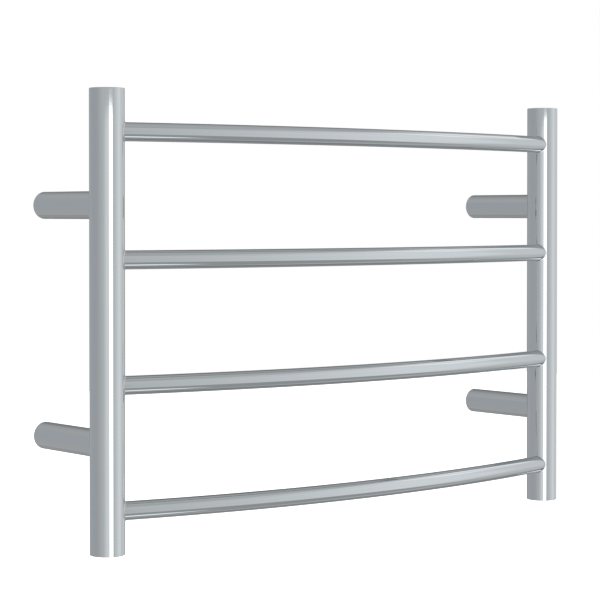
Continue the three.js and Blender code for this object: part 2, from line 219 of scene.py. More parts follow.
def plugShader(shader, colour, roughness, normal):
    for name, source in (("Base Color", colour), ("Roughness", roughness), ("Normal", normal)):
        shader.id_data.links.new(source, shader.inputs[name])


def polishedStainless():
    # stainless tube polished to a mirror after welding: cool grey, crisp reflections that a
    # trace of polishing grain and handling haze softens in places
    material, tree, shader = newMaterial("mirrorPolishedStainless")
    shader.inputs["Metallic"].default_value = 1.0
    coords = addNode(tree, "ShaderNodeTexCoord")
    haze = addNode(tree, "ShaderNodeTexNoise", {
        "Vector": coords.outputs["Object"],
        "Scale": 1 / (38 * mm),  # patches about 40 mm across
        "Detail": 3.0,
        "Roughness": 0.6,
    })
    # polishing grain is about 0.1 mm wide; drawn at 0.6 mm so that it can show
    grain = addNode(tree, "ShaderNodeTexNoise", {
        "Vector": coords.outputs["Object"],
        "Scale": 1 / (0.6 * mm),
        "Detail": 2.0,
        "Roughness": 0.5,
    })
    hazeRange = addNode(tree, "ShaderNodeMapRange", {
        "Value": haze.outputs["Fac"], "From Min": 0.35, "From Max": 0.7, "To Min": 0.045, "To Max": 0.085,
    })
    grainRange = addNode(tree, "ShaderNodeMapRange", {
        "Value": grain.outputs["Fac"], "From Min": 0.3, "From Max": 0.7, "To Min": -0.012, "To Max": 0.012,
    })
    roughness = addNode(tree, "ShaderNodeMath", {
        0: hazeRange.outputs["Result"], 1: grainRange.outputs["Result"],
    })
    tint = addNode(tree, "ShaderNodeValToRGB", {"Fac": haze.outputs["Fac"]})
    setRamp(tint, [(0.3, linearColour("#c8ced2")), (0.7, linearColour("#cacfd2"))])
    bump = addNode(tree, "ShaderNodeBump", {
        "Height": grain.outputs["Fac"], "Strength": 0.04, "Distance": 0.01 * mm,
    })
    plugShader(shader, tint.outputs["Color"], roughness.outputs["Value"], bump.outputs["Normal"])
    return material


def turnedSteel():
    # turned stainless bar: fine rings left by the tool round each boss's own axis
    material, tree, shader = newMaterial("turnedStainlessBar")
    shader.inputs["Metallic"].default_value = 1.0
    coords = addNode(tree, "ShaderNodeTexCoord")
    parts = addNode(tree, "ShaderNodeSeparateXYZ", {"Vector": coords.outputs["Object"]})
    # the four bosses are mirror images, so one pattern about (fixingX, fixingZ) serves them all
    foldX = addNode(tree, "ShaderNodeMath", {0: parts.outputs["X"]}, operation="ABSOLUTE")
    foldZ = addNode(tree, "ShaderNodeMath", {0: parts.outputs["Z"]}, operation="ABSOLUTE")
    offX = addNode(tree, "ShaderNodeMath", {0: foldX.outputs[0], 1: fixingX}, operation="SUBTRACT")
    offZ = addNode(tree, "ShaderNodeMath", {0: foldZ.outputs[0], 1: fixingZ}, operation="SUBTRACT")
    flat = addNode(tree, "ShaderNodeCombineXYZ", {"X": offX.outputs[0], "Y": offZ.outputs[0]})
    reach = addNode(tree, "ShaderNodeVectorMath", {0: flat.outputs["Vector"]}, operation="LENGTH")
    along = addNode(tree, "ShaderNodeMath", {0: reach.outputs["Value"], 1: parts.outputs["Y"]})
    turns = addNode(tree, "ShaderNodeMath", {
        0: along.outputs[0], 1: 2 * math.pi / (0.35 * mm),  # tool feed of 0.35 mm a turn
    }, operation="MULTIPLY")
    wave = addNode(tree, "ShaderNodeMath", {0: turns.outputs[0]}, operation="SINE")
    fleck = addNode(tree, "ShaderNodeTexNoise", {
        "Vector": coords.outputs["Object"], "Scale": 1 / (2 * mm),
    })
    colour = addNode(tree, "ShaderNodeValToRGB", {"Fac": fleck.outputs["Fac"]})
    setRamp(colour, [(0.3, linearColour("#a3a5a7")), (0.7, linearColour("#b4b5b6"))])
    bump = addNode(tree, "ShaderNodeBump", {
        "Height": wave.outputs[0], "Strength": 0.35, "Distance": 0.02 * mm,
    })
    spread = addNode(tree, "ShaderNodeMapRange", {
        "Value": fleck.outputs["Fac"], "To Min": 0.26, "To Max": 0.4,
    })
    plugShader(shader, colour.outputs["Color"], spread.outputs["Result"], bump.outputs["Normal"])
    return material


def satinMetal(name, light, dark, smooth, rough):
    # small plated or machined parts: mottled sheen from tumbling, with no direction to it
    material, tree, shader = newMaterial(name)
    shader.inputs["Metallic"].default_value = 1.0
    coords = addNode(tree, "ShaderNodeTexCoord")
    mottle = addNode(tree, "ShaderNodeTexNoise", {
        "Vector": coords.outputs["Object"], "Scale": 1 / (0.8 * mm), "Detail": 4.0,
    })
    colour = addNode(tree, "ShaderNodeValToRGB", {"Fac": mottle.outputs["Fac"]})
    setRamp(colour, [(0.3, linearColour(dark)), (0.7, linearColour(light))])
    sheen = addNode(tree, "ShaderNodeMapRange", {
        "Value": mottle.outputs["Fac"], "To Min": smooth, "To Max": rough,
    })
    bump = addNode(tree, "ShaderNodeBump", {
        "Height": mottle.outputs["Fac"], "Strength": 0.2, "Distance": 0.02 * mm,
    })
    plugShader(shader, colour.outputs["Color"], sheen.outputs["Result"], bump.outputs["Normal"])
    return material


def softPolymer(name, light, dark, roughness, grain, depth, ior):
    # moulded or extruded plastics and rubbers: a slight unevenness of colour and a fine skin
    material, tree, shader = newMaterial(name)
    shader.inputs["IOR"].default_value = ior
    coords = addNode(tree, "ShaderNodeTexCoord")
    cloud = addNode(tree, "ShaderNodeTexNoise", {
        "Vector": coords.outputs["Object"], "Scale": 1 / (9 * mm),
    })
    skin = addNode(tree, "ShaderNodeTexNoise", {
        "Vector": coords.outputs["Object"], "Scale": 1 / grain, "Detail": 3.0,
    })
    colour = addNode(tree, "ShaderNodeValToRGB", {"Fac": cloud.outputs["Fac"]})
    setRamp(colour, [(0.3, linearColour(dark)), (0.7, linearColour(light))])
    sheen = addNode(tree, "ShaderNodeMapRange", {
        "Value": skin.outputs["Fac"], "To Min": roughness - 0.08, "To Max": roughness + 0.08,
    })
    bump = addNode(tree, "ShaderNodeBump", {
        "Height": skin.outputs["Fac"], "Strength": 0.3, "Distance": depth,
    })
    plugShader(shader, colour.outputs["Color"], sheen.outputs["Result"], bump.outputs["Normal"])
    return material


stainless = polishedStainless()
barSteel = turnedSteel()
screwSteel = satinMetal("machinedScrewSteel", "#8b8d8f", "#6f7174", 0.28, 0.42)
tinnedBrass = satinMetal("tinnedBrass", "#c9c3a8", "#aaa384", 0.25, 0.4)
siliconeSheath = softPolymer("extrudedSiliconeRubber", "#a8352a", "#8d281e", 0.55, 0.5 * mm, 0.02 * mm, 1.41)
heatShrink = softPolymer("blackHeatShrink", "#1b1b1c", "#121213", 0.5, 0.7 * mm, 0.03 * mm, 1.49)
nylon = softPolymer("mouldedWhiteNylon", "#e9e7df", "#dedbd1", 0.45, 0.3 * mm, 0.01 * mm, 1.53)
brownPvc = softPolymer("brownWireInsulation", "#633922", "#55301c", 0.4, 0.4 * mm, 0.01 * mm, 1.54)
bluePvc = softPolymer("blueWireInsulation", "#2859a6", "#1f4a8e", 0.4, 0.4 * mm, 0.01 * mm, 1.54)
greenPvc = softPolymer("greenEarthInsulation", "#41913a", "#35802a", 0.4, 0.4 * mm, 0.01 * mm, 1.54)
grommetRubber = softPolymer("mouldedGreyRubber", "#3f4042", "#343537", 0.7, 0.4 * mm, 0.02 * mm, 1.52)
print("materials made:", len(bpy.data.materials))


# ---- rails: straight tube bent to one arc by geometry nodes

railSpec = {
    "wall": 1.2 * mm,
    "sides": 112,
    "steps": 180,
    "setForward": 2.5 * mm,  # rail axis ahead of the post axis where they cross
    "holeGap": 0.02 * mm,  # round a rail where it enters a post
}


def bowFromFrame():
    # the arc through the rail's middle and its crossings with the post axes
    endY = postY - railSpec["setForward"]
    middleY = railLow[1] + railRadius
    sag = endY - middleY
    radius = (postX ** 2 + sag ** 2) / (2 * sag)
    return radius, middleY + radius


bowRadius, bowCentreY = bowFromFrame()


def bowedTubeTree():
    tree = bpy.data.node_groups.new("bowedTube", "GeometryNodeTree")
    tree.interface.new_socket("Geometry", in_out="OUTPUT", socket_type="NodeSocketGeometry")
    for name in ("Outer Radius", "Bore Radius", "Length", "Bow Radius", "Centre Y", "Height"):
        tree.interface.new_socket(name, in_out="INPUT", socket_type="NodeSocketFloat")
    for name in ("Sides", "Steps"):
        tree.interface.new_socket(name, in_out="INPUT", socket_type="NodeSocketInt")
    tree.interface.new_socket("Finish", in_out="INPUT", socket_type="NodeSocketMaterial")
    given = addNode(tree, "NodeGroupInput").outputs
    half = addNode(tree, "ShaderNodeMath", {0: given["Length"], 1: 0.5}, operation="MULTIPLY")
    minusHalf = addNode(tree, "ShaderNodeMath", {0: given["Length"], 1: -0.5}, operation="MULTIPLY")
    outer = addNode(tree, "GeometryNodeMeshCylinder", {
        "Vertices": given["Sides"], "Side Segments": given["Steps"],
        "Radius": given["Outer Radius"], "Depth": given["Length"],
    }, fill_type="NONE")
    bore = addNode(tree, "GeometryNodeMeshCylinder", {
        "Vertices": given["Sides"], "Side Segments": given["Steps"],
        "Radius": given["Bore Radius"], "Depth": given["Length"],
    }, fill_type="NONE")
    inside = addNode(tree, "GeometryNodeFlipFaces", {"Mesh": bore.outputs["Mesh"]})
    # the two ring-shaped ends are cones with no height
    topRing = addNode(tree, "GeometryNodeMeshCone", {
        "Vertices": given["Sides"], "Radius Top": given["Bore Radius"],
        "Radius Bottom": given["Outer Radius"], "Depth": 0.0,
    }, fill_type="NONE")
    bottomRing = addNode(tree, "GeometryNodeMeshCone", {
        "Vertices": given["Sides"], "Radius Top": given["Outer Radius"],
        "Radius Bottom": given["Bore Radius"], "Depth": 0.0,
    }, fill_type="NONE")
    topAt = addNode(tree, "ShaderNodeCombineXYZ", {"Z": half.outputs[0]})
    bottomAt = addNode(tree, "ShaderNodeCombineXYZ", {"Z": minusHalf.outputs[0]})
    topEnd = addNode(tree, "GeometryNodeTransform", {
        "Geometry": topRing.outputs["Mesh"], "Translation": topAt.outputs["Vector"],
    })
    bottomEnd = addNode(tree, "GeometryNodeTransform", {
        "Geometry": bottomRing.outputs["Mesh"], "Translation": bottomAt.outputs["Vector"],
    })
    joined = addNode(tree, "GeometryNodeJoinGeometry")
    for part in (outer.outputs["Mesh"], inside.outputs["Mesh"], topEnd.outputs[0], bottomEnd.outputs[0]):
        tree.links.new(part, joined.inputs["Geometry"])
    welded = addNode(tree, "GeometryNodeMergeByDistance", {
        "Geometry": joined.outputs[0], "Distance": 0.001 * mm,
    })
    place = addNode(tree, "GeometryNodeInputPosition")
    parts = addNode(tree, "ShaderNodeSeparateXYZ", {"Vector": place.outputs["Position"]})
    angle = addNode(tree, "ShaderNodeMath", {
        0: parts.outputs["Z"], 1: given["Bow Radius"],
    }, operation="DIVIDE")
    out = addNode(tree, "ShaderNodeMath", {
        0: parts.outputs["X"], 1: given["Bow Radius"],
    }, operation="ADD")
    sine = addNode(tree, "ShaderNodeMath", {0: angle.outputs[0]}, operation="SINE")
    cosine = addNode(tree, "ShaderNodeMath", {0: angle.outputs[0]}, operation="COSINE")
    newX = addNode(tree, "ShaderNodeMath", {0: out.outputs[0], 1: sine.outputs[0]}, operation="MULTIPLY")
    back = addNode(tree, "ShaderNodeMath", {
        0: out.outputs[0], 1: cosine.outputs[0],
    }, operation="MULTIPLY")
    newY = addNode(tree, "ShaderNodeMath", {
        0: given["Centre Y"], 1: back.outputs[0],
    }, operation="SUBTRACT")
    newZ = addNode(tree, "ShaderNodeMath", {
        0: given["Height"], 1: parts.outputs["Y"],
    }, operation="SUBTRACT")
    bent = addNode(tree, "ShaderNodeCombineXYZ", {
        "X": newX.outputs[0], "Y": newY.outputs[0], "Z": newZ.outputs[0],
    })
    moved = addNode(tree, "GeometryNodeSetPosition", {
        "Geometry": welded.outputs[0], "Position": bent.outputs["Vector"],
    })
    real = addNode(tree, "GeometryNodeRealizeInstances", {"Geometry": moved.outputs[0]})
    dressed = addNode(tree, "GeometryNodeSetMaterial", {
        "Geometry": real.outputs[0], "Material": given["Finish"],
    })
    addNode(tree, "NodeGroupOutput", {"Geometry": dressed.outputs[0]})
    return tree


def runTree(name, tree, values):
    # the tree's result as a plain mesh object
    obj = bpy.data.objects.new(name, bpy.data.meshes.new(name))
    scene.collection.objects.link(obj)
    modifier = obj.modifiers.new("shape", "NODES")
    modifier.node_group = tree
    for item in tree.interface.items_tree:
        if item.in_out == "INPUT" and item.name in values:
            modifier[item.identifier] = values[item.name]
    bakeObject(obj)
    obj.data.name = name
    return obj


tubeTree = bowedTubeTree()
railEndAngle = math.asin(railHigh[0] / bowRadius)
for nodeName, height in zip(railNames, railHeights):
    rail = runTree(nodeName + "_tube", tubeTree, {
        "Outer Radius": railRadius,
        "Bore Radius": railRadius - railSpec["wall"],
        "Length": 2 * bowRadius * railEndAngle,
        "Bow Radius": bowRadius,
        "Centre Y": bowCentreY,
        "Height": height,
        "Sides": railSpec["sides"],
        "Steps": railSpec["steps"],
        "Finish": stainless,
    })
    rail.data.shade_smooth()
    rail.data.set_sharp_from_angle(angle=math.radians(40))
    finishPiece(rail, "rack", "polished_tube", nodeName)
print("rails made, bow radius", round(bowRadius / mm), "mm")


# ---- posts with their rounded rims, and the caps let into them

postSpec = {
    "sides": 192,
    "wall": 1.5 * mm,
    "rim": 0.5 * mm,
    "innerRim": 0.25 * mm,
    "rimSteps": 5,
    "innerRimSteps": 3,
    "capGap": 0.12 * mm,
    "capThickness": 4 * mm,
    "capEdge": 0.5 * mm,
    "capDome": 0.25 * mm,
    "capDomeSteps": 12,
    "passage": 6 * mm,  # radius of the cable's way in from the lower left stand-off
}


def railDirection(side):
    # the way a rail's axis runs into the post on that side, where it crosses the post's own axis
    slope = math.asin(postX / bowRadius)
    return Vector((side * math.cos(slope), math.sin(slope), 0))


def rodAlong(radius, length, centre, direction, sides=96):
    half = length / 2
    mesh = revolve("rod", [(0, -half), (radius, -half), (radius, half), (0, half)], sides, False)
    turn = Vector(direction).to_track_quat("Z", "Y").to_matrix().to_4x4()
    mesh.transform(Matrix.Translation(Vector(centre)) @ turn)
    return mesh


def makePost(side, nodeName):
    spec = postSpec
    low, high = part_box(nodeName)
    bore = postRadius - spec["wall"]
    rim, steps = spec["rim"], spec["rimSteps"]
    inner, innerSteps = spec["innerRim"], spec["innerRimSteps"]
    profile = roundedCorner(bore + inner, low[2] + inner, inner, 180, innerSteps)
    profile += roundedCorner(postRadius - rim, low[2] + rim, rim, 270, steps)
    profile += roundedCorner(postRadius - rim, high[2] - rim, rim, 0, steps)
    profile += roundedCorner(bore + inner, high[2] - inner, inner, 90, innerSteps)
    mesh = revolve(nodeName + "_tube", profile, spec["sides"], True)
    mesh.transform(Matrix.Translation((side * postX, postY, 0)))
    post = linkObject(nodeName + "_tube", mesh, stainless)
    cutters = []
    direction = railDirection(side)
    for height in railHeights:
        crossing = Vector((side * postX, postY - railSpec["setForward"], height))
        middle = crossing - direction * (postRadius * 1.2)
        cutters.append(cutter(rodAlong(railRadius + railSpec["holeGap"], postRadius * 2, middle, direction)))
    if side < 0:
        centre = (side * postX, postY + postRadius, -fixingZ)
        cutters.append(cutter(rodAlong(spec["passage"], postRadius, centre, (0, 1, 0))))
    cutOut(post, cutters)
    shadeRound(post, (side * postX, postY, 0), (0, 0, 1))
    finishPiece(post, "rack", "polished_tube", nodeName)


def makeCap(side, nodeName, up):
    spec = postSpec
    low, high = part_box(nodeName)
    radius = postRadius - spec["wall"] - spec["capGap"]
    edge, steps = spec["capEdge"], spec["rimSteps"]
    top = spec["capThickness"] - spec["capDome"]
    profile = [(0, 0), (radius, 0)] + roundedCorner(radius - edge, top - edge, edge, 0, steps)
    domeSteps = spec["capDomeSteps"]
    for i in range(1, domeSteps + 1):
        reach = (radius - edge) * (1 - i / domeSteps)
        dome = spec["capDome"] * (1 - (reach / (radius - edge)) ** 2)
        profile.append((reach, top + dome))
    mesh = revolve(nodeName + "_disc", profile, spec["sides"], False)
    if up:
        mesh.transform(Matrix.Translation((side * postX, postY, high[2] - spec["capThickness"])))
    else:
        flip = Matrix.Rotation(math.pi, 4, "X")
        mesh.transform(Matrix.Translation((side * postX, postY, low[2] + spec["capThickness"])) @ flip)
    cap = linkObject(nodeName + "_disc", mesh, stainless)
    mesh.set_sharp_from_angle(angle=math.radians(40))
    finishPiece(cap, "rack", "polished_tube", nodeName)


for side, word in ((-1, "left"), (1, "right")):
    makePost(side, word + "_post")
    makeCap(side, word + "_post_top_cap", True)
    makeCap(side, word + "_post_bottom_cap", False)
print("posts and caps made")


# ---- stand-off tubes, saddled onto the posts

standoffSpec = {
    "sides": 160,
    "wall": 2 * mm,
    "rim": 0.4 * mm,
    "innerRim": 0.4 * mm,
    "rimPoints": 5,
    "grubHole": 2.65 * mm,
    "drillLength": 8 * mm,
}


def makeStandoff(nodeName, side, height):
    spec = standoffSpec
    low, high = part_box(nodeName)
    bore = standoffRadius - spec["wall"]
    sides, rim, inner = spec["sides"], spec["rim"], spec["innerRim"]
    backY = high[1]
    # from the saddle along the outside to the wall, round the rim and back down the bore
    back = [(standoffRadius - rim + rim * math.cos(a), backY - rim + rim * math.sin(a))
            for a in np.linspace(0, math.pi / 2, spec["rimPoints"])]
    back += [(bore + inner + inner * math.cos(a), backY - inner + inner * math.sin(a))
             for a in np.linspace(math.pi / 2, math.pi, spec["rimPoints"])]
    rings = [("saddle", standoffRadius)] + back + [("saddle", bore)]
    vertices, faces = [], []
    for first, second in rings:
        for k in range(sides):
            angle = 2 * math.pi * k / sides
            radius = second if first == "saddle" else first
            x, z = radius * math.cos(angle), radius * math.sin(angle)
            y = postY + math.sqrt(postRadius ** 2 - x * x) if first == "saddle" else second
            vertices.append((side * postX + x, y, height + z))
    for j in range(len(rings)):
        for k in range(sides):
            n, up = (k + 1) % sides, (j + 1) % len(rings)
            faces.append([j * sides + k, up * sides + k, up * sides + n, j * sides + n])
    mesh = meshFrom(nodeName + "_tube", vertices, faces)
    tube = linkObject(nodeName + "_tube", mesh, stainless)
    grubLow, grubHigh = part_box(nodeName.replace("standoff", "grub_screw"))
    middle = ((grubLow[0] + grubHigh[0]) / 2, (grubLow[1] + grubHigh[1]) / 2, height - standoffRadius)
    cutOut(tube, [cutter(rodAlong(spec["grubHole"], spec["drillLength"], middle, (0, 0, 1), 48))])
    shadeRound(tube, (side * postX, 0, height), (0, 1, 0))
    finishPiece(tube, "rack", "polished_tube", nodeName)


for corner in corners:
    side = -1 if "left" in corner else 1
    height = fixingZ if "upper" in corner else -fixingZ
    makeStandoff(corner + "_standoff", side, height)
print("stand-offs made")


# ---- polished weld fillets, one ring round each joint

weldSpec = {"rail": 1.3 * mm, "standoff": 1.6 * mm, "sides": 128, "steps": 8, "sink": 0.5 * mm}


def filletRing(centre, direction, radius, postAxis, size):
    # a ball of the fillet's radius rolled round the joint between a tube and its post
    spec = weldSpec
    along = Vector(direction).normalized()
    up = Vector((0, 0, 1))
    across = up.cross(along).normalized()
    vertices, rows = [], spec["steps"] + 2
    for k in range(spec["sides"]):
        angle = 2 * math.pi * k / spec["sides"]
        outwards = across * math.cos(angle) + up * math.sin(angle)
        start = Vector(centre) + outwards * (radius + size)
        # where this line along the tube meets the post's surface, one ball radius out
        offset = Vector((start.x - postAxis[0], start.y - postAxis[1]))
        flat = Vector((along.x, along.y))
        b = offset.dot(flat)
        c = offset.length_squared - (postRadius + size) ** 2
        ball = start + along * (-b - math.sqrt(b * b - c))
        fromPost = Vector((ball.x - postAxis[0], ball.y - postAxis[1], 0)).normalized()
        for i in range(spec["steps"] + 1):
            part = (-outwards).slerp(-fromPost, i / spec["steps"])
            vertices.append(ball + part * size)
        corner = ball - outwards * (size + spec["sink"]) - fromPost * (size + spec["sink"])
        vertices.append(corner)
    faces = []
    for k in range(spec["sides"]):
        n = (k + 1) % spec["sides"]
        for i in range(rows):
            j = (i + 1) % rows
            faces.append([k * rows + i, n * rows + i, n * rows + j, k * rows + j])
    return vertices, faces


def makeWelds(name, rings):
    vertices, faces = [], []
    for ringVertices, ringFaces in rings:
        base = len(vertices)
        vertices += ringVertices
        faces += [[v + base for v in face] for face in ringFaces]
    mesh = meshFrom(name, vertices, faces)
    mesh.set_sharp_from_angle(angle=math.radians(50))
    weld = linkObject(name, mesh, stainless)
    finishPiece(weld, "rack", "polished_tube")


for side, word in ((-1, "left"), (1, "right")):
    rings = []
    axis = (side * postX, postY)
    for height in railHeights:
        crossing = Vector((side * postX, postY - railSpec["setForward"], height))
        rings.append(filletRing(crossing, railDirection(side), railRadius, axis, weldSpec["rail"]))
    for height in (-fixingZ, fixingZ):
        centre = (side * postX, postY, height)
        rings.append(filletRing(centre, (0, -1, 0), standoffRadius, axis, weldSpec["standoff"]))
    makeWelds(word + "_post_weld_fillets", rings)
print("weld fillets made")


# ---- wall bosses, turned from bar and drilled

bossSpec = {
    "sides": 128,
    "chamfer": 1 * mm,
    "edge": 0.2 * mm,
    "flat": 3.2 * mm,
    "screwHole": 2.6 * mm,
    "sink": 5 * mm,
    "leadHole": 3.5 * mm,
    "leadScrewHole": 1.9 * mm,
    "leadScrewOffset": 7.2 * mm,
}


def makeBoss(nodeName, side, height):
    spec = bossSpec
    chamfer, edge = spec["chamfer"], spec["edge"]
    profile = [
        (0, 0), (bossRadius - chamfer - edge, 0), (bossRadius - chamfer, edge * 0.4),
        (bossRadius - edge * 0.4, chamfer), (bossRadius, chamfer + edge),
        (bossRadius, bossLength - edge), (bossRadius - edge * 0.3, bossLength - edge * 0.3),
        (bossRadius - edge, bossLength), (0, bossLength),
    ]
    lay = Matrix.Translation((side * postX, -bossLength, height)) @ Matrix.Rotation(-math.pi / 2, 4, "X")
    mesh = revolve(nodeName + "_spigot", profile, spec["sides"], False)
    mesh.transform(lay)
    boss = linkObject(nodeName + "_spigot", mesh, barSteel)
    centre = Vector((side * postX, -bossLength / 2, height))
    slab = bpy.data.meshes.new("slab")
    half = bossRadius * 1.5
    flatZ = height - bossRadius + spec["flat"]
    box = [(x, y, z) for x in (-half, half) for y in (-half, half) for z in (flatZ - half, flatZ)]
    box = [(centre.x + x, centre.y + y * 2, z) for x, y, z in box]
    sidesOfBox = [(0, 1, 3, 2), (4, 6, 7, 5), (0, 4, 5, 1), (2, 3, 7, 6), (0, 2, 6, 4), (1, 5, 7, 3)]
    slab.from_pydata(box, [], sidesOfBox)
    tools = [cutter(slab)]
    drills = [(0, spec["screwHole"])]
    if nodeName.startswith("lower_left"):
        offset = spec["leadScrewOffset"]
        drills = [(0, spec["leadHole"])] + [(x, spec["leadScrewHole"]) for x in (-offset, offset)]
    for x, radius in drills:
        tools.append(cutter(rodAlong(radius, bossLength * 2, centre + Vector((x, 0, 0)), (0, 1, 0), 64)))
    if len(drills) == 1:
        sink = spec["sink"]
        cone = revolve("sink", [(0, -mm), (sink + mm, -mm), (0, sink)], 64, False)
        cone.transform(lay)
        tools.append(cutter(cone))
    cutOut(boss, tools)
    shadeRound(boss, centre, (0, 1, 0))
    finishPiece(boss, "wall_bosses", "turned_steel", nodeName)


for corner in corners:
    side = -1 if "left" in corner else 1
    makeBoss(corner + "_wall_boss", side, fixingZ if "upper" in corner else -fixingZ)
print("wall bosses made")


# ---- grub screws: core, thread and hexagon socket by geometry nodes

grubSpec = {
    "radius": 2.5 * mm,
    "pitch": 0.8 * mm,
    "threadDepth": 0.42 * mm,
    "threadShare": 0.76,  # of the screw's length that carries thread
    "across": 2.5 * mm,
    "socketDepth": 2.2 * mm,
}


def grubScrewTree():
    tree = bpy.data.node_groups.new("grubScrew", "GeometryNodeTree")
    tree.interface.new_socket("Geometry", in_out="OUTPUT", socket_type="NodeSocketGeometry")
    for name in ("Radius", "Length", "Pitch", "Thread Depth", "Thread Share", "Socket Radius",
                 "Socket Depth"):
        tree.interface.new_socket(name, in_out="INPUT", socket_type="NodeSocketFloat")
    tree.interface.new_socket("Place", in_out="INPUT", socket_type="NodeSocketVector")
    tree.interface.new_socket("Finish", in_out="INPUT", socket_type="NodeSocketMaterial")
    given = addNode(tree, "NodeGroupInput").outputs
    coreRadius = addNode(tree, "ShaderNodeMath", {
        0: given["Radius"], 1: given["Thread Depth"],
    }, operation="SUBTRACT")
    core = addNode(tree, "GeometryNodeMeshCylinder", {
        "Vertices": 48, "Radius": coreRadius.outputs[0], "Depth": given["Length"],
    }, fill_type="NGON")
    socketDrop = addNode(tree, "ShaderNodeMath", {0: given["Length"], 1: -0.5}, operation="MULTIPLY")
    socketLength = addNode(tree, "ShaderNodeMath", {
        0: given["Socket Depth"], 1: 2.0,
    }, operation="MULTIPLY")
    socketAt = addNode(tree, "ShaderNodeCombineXYZ", {"Z": socketDrop.outputs[0]})
    hexagon = addNode(tree, "GeometryNodeMeshCylinder", {
        "Vertices": 6, "Radius": given["Socket Radius"], "Depth": socketLength.outputs[0],
    }, fill_type="NGON")
    placedHex = addNode(tree, "GeometryNodeTransform", {
        "Geometry": hexagon.outputs["Mesh"], "Translation": socketAt.outputs["Vector"],
    })
    drilled = addNode(tree, "GeometryNodeMeshBoolean", {
        "Mesh 1": core.outputs["Mesh"], "Mesh 2": placedHex.outputs[0],
    }, operation="DIFFERENCE", solver="EXACT")
    threadLength = addNode(tree, "ShaderNodeMath", {
        0: given["Length"], 1: given["Thread Share"],
    }, operation="MULTIPLY")
    turns = addNode(tree, "ShaderNodeMath", {
        0: threadLength.outputs[0], 1: given["Pitch"],
    }, operation="DIVIDE")
    helix = addNode(tree, "GeometryNodeCurveSpiral", {
        "Resolution": 40, "Rotations": turns.outputs[0], "Start Radius": coreRadius.outputs[0],
        "End Radius": coreRadius.outputs[0], "Height": threadLength.outputs[0],
    })
    threadDrop = addNode(tree, "ShaderNodeMath", {
        0: threadLength.outputs[0], 1: -0.5,
    }, operation="MULTIPLY")
    threadAt = addNode(tree, "ShaderNodeCombineXYZ", {"Z": threadDrop.outputs[0]})
    placedHelix = addNode(tree, "GeometryNodeTransform", {
        "Geometry": helix.outputs["Curve"], "Translation": threadAt.outputs["Vector"],
    })
    ridge = addNode(tree, "GeometryNodeCurvePrimitiveCircle", {
        "Resolution": 4, "Radius": given["Thread Depth"],
    })
    thread = addNode(tree, "GeometryNodeCurveToMesh", {
        "Curve": placedHelix.outputs[0], "Profile Curve": ridge.outputs["Curve"], "Fill Caps": True,
    })
    joined = addNode(tree, "GeometryNodeJoinGeometry")
    tree.links.new(drilled.outputs["Mesh"], joined.inputs["Geometry"])
    tree.links.new(thread.outputs["Mesh"], joined.inputs["Geometry"])
    placed = addNode(tree, "GeometryNodeTransform", {
        "Geometry": joined.outputs[0], "Translation": given["Place"],
    })
    real = addNode(tree, "GeometryNodeRealizeInstances", {"Geometry": placed.outputs[0]})
    dressed = addNode(tree, "GeometryNodeSetMaterial", {
        "Geometry": real.outputs[0], "Material": given["Finish"],
    })
    addNode(tree, "NodeGroupOutput", {"Geometry": dressed.outputs[0]})
    return tree


screwTree = grubScrewTree()
for corner in corners:
    nodeName = corner + "_grub_screw"
    low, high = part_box(nodeName)
    screw = runTree(nodeName + "_threaded", screwTree, {
        "Radius": grubSpec["radius"],
        "Length": high[2] - low[2],
        "Pitch": grubSpec["pitch"],
        "Thread Depth": grubSpec["threadDepth"],
        "Thread Share": grubSpec["threadShare"],
        "Socket Radius": grubSpec["across"] / math.sqrt(3),
        "Socket Depth": grubSpec["socketDepth"],
        "Place": [(a + b) / 2 for a, b in zip(low, high)],
        "Finish": screwSteel,
    })
    screw.data.set_sharp_from_angle(angle=math.radians(35))
    finishPiece(screw, corner + "_screw", "screw_steel", nodeName)
print("grub screws made")


# ---- grommet in the lead-in boss

grommetSpec = {
    "sides": 96,
    "bore": 2.5 * mm,
    "gap": 0.1 * mm,  # to the hole in the boss
    "lip": 3.9 * mm,
    "lipThickness": 1 * mm,
    "edge": 0.3 * mm,
    "edgeSteps": 4,
}


def makeGrommet():
    spec = grommetSpec
    low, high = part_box("lead_in_grommet")
    length = high[1] - low[1]
    body = bossSpec["leadHole"] - spec["gap"]
    edge, lip, steps = spec["edge"], spec["lip"], spec["edgeSteps"]
    profile = roundedCorner(spec["bore"] + edge, edge, edge, 180, steps)
    profile += roundedCorner(lip - edge, edge, edge, 270, steps)
    profile += roundedCorner(lip - edge, spec["lipThickness"] - edge, edge, 0, steps)
    profile += [(body, spec["lipThickness"])]
    profile += roundedCorner(body - edge, length - edge, edge, 0, steps)
    profile += roundedCorner(spec["bore"] + edge, length - edge, edge, 90, steps)
    mesh = revolve("lead_in_grommet_moulding", profile, spec["sides"], True)
    lay = Matrix.Rotation(-math.pi / 2, 4, "X")
    mesh.transform(Matrix.Translation(((low[0] + high[0]) / 2, low[1], (low[2] + high[2]) / 2)) @ lay)
    mesh.set_sharp_from_angle(angle=math.radians(50))
    piece = linkObject("lead_in_grommet_moulding", mesh, grommetRubber)
    finishPiece(piece, "wall_bosses", "grommet_rubber", "lead_in_grommet")


makeGrommet()


# ---- heating cable, swept along its route through the tubes

cableSpec = {
    "radius": 2 * mm,
    "bend": 12 * mm,
    "drop": 40 * mm,  # of its far end below the top rail
    "inJoint": 5.7 * mm,  # how far it reaches into the cold joint
    "bendRoom": 24 * mm,  # between a post axis and the stretch laid along a rail
    "arcSteps": 48,
    "bendSteps": 10,
}


def quarterBend(corner, before, after):
    points, size = [], cableSpec["bend"]
    for i in range(cableSpec["bendSteps"] + 1):
        angle = math.pi / 2 * i / cableSpec["bendSteps"]
        points.append(corner - before * size * (1 - math.sin(angle)) + after * size * (1 - math.cos(angle)))
    return points


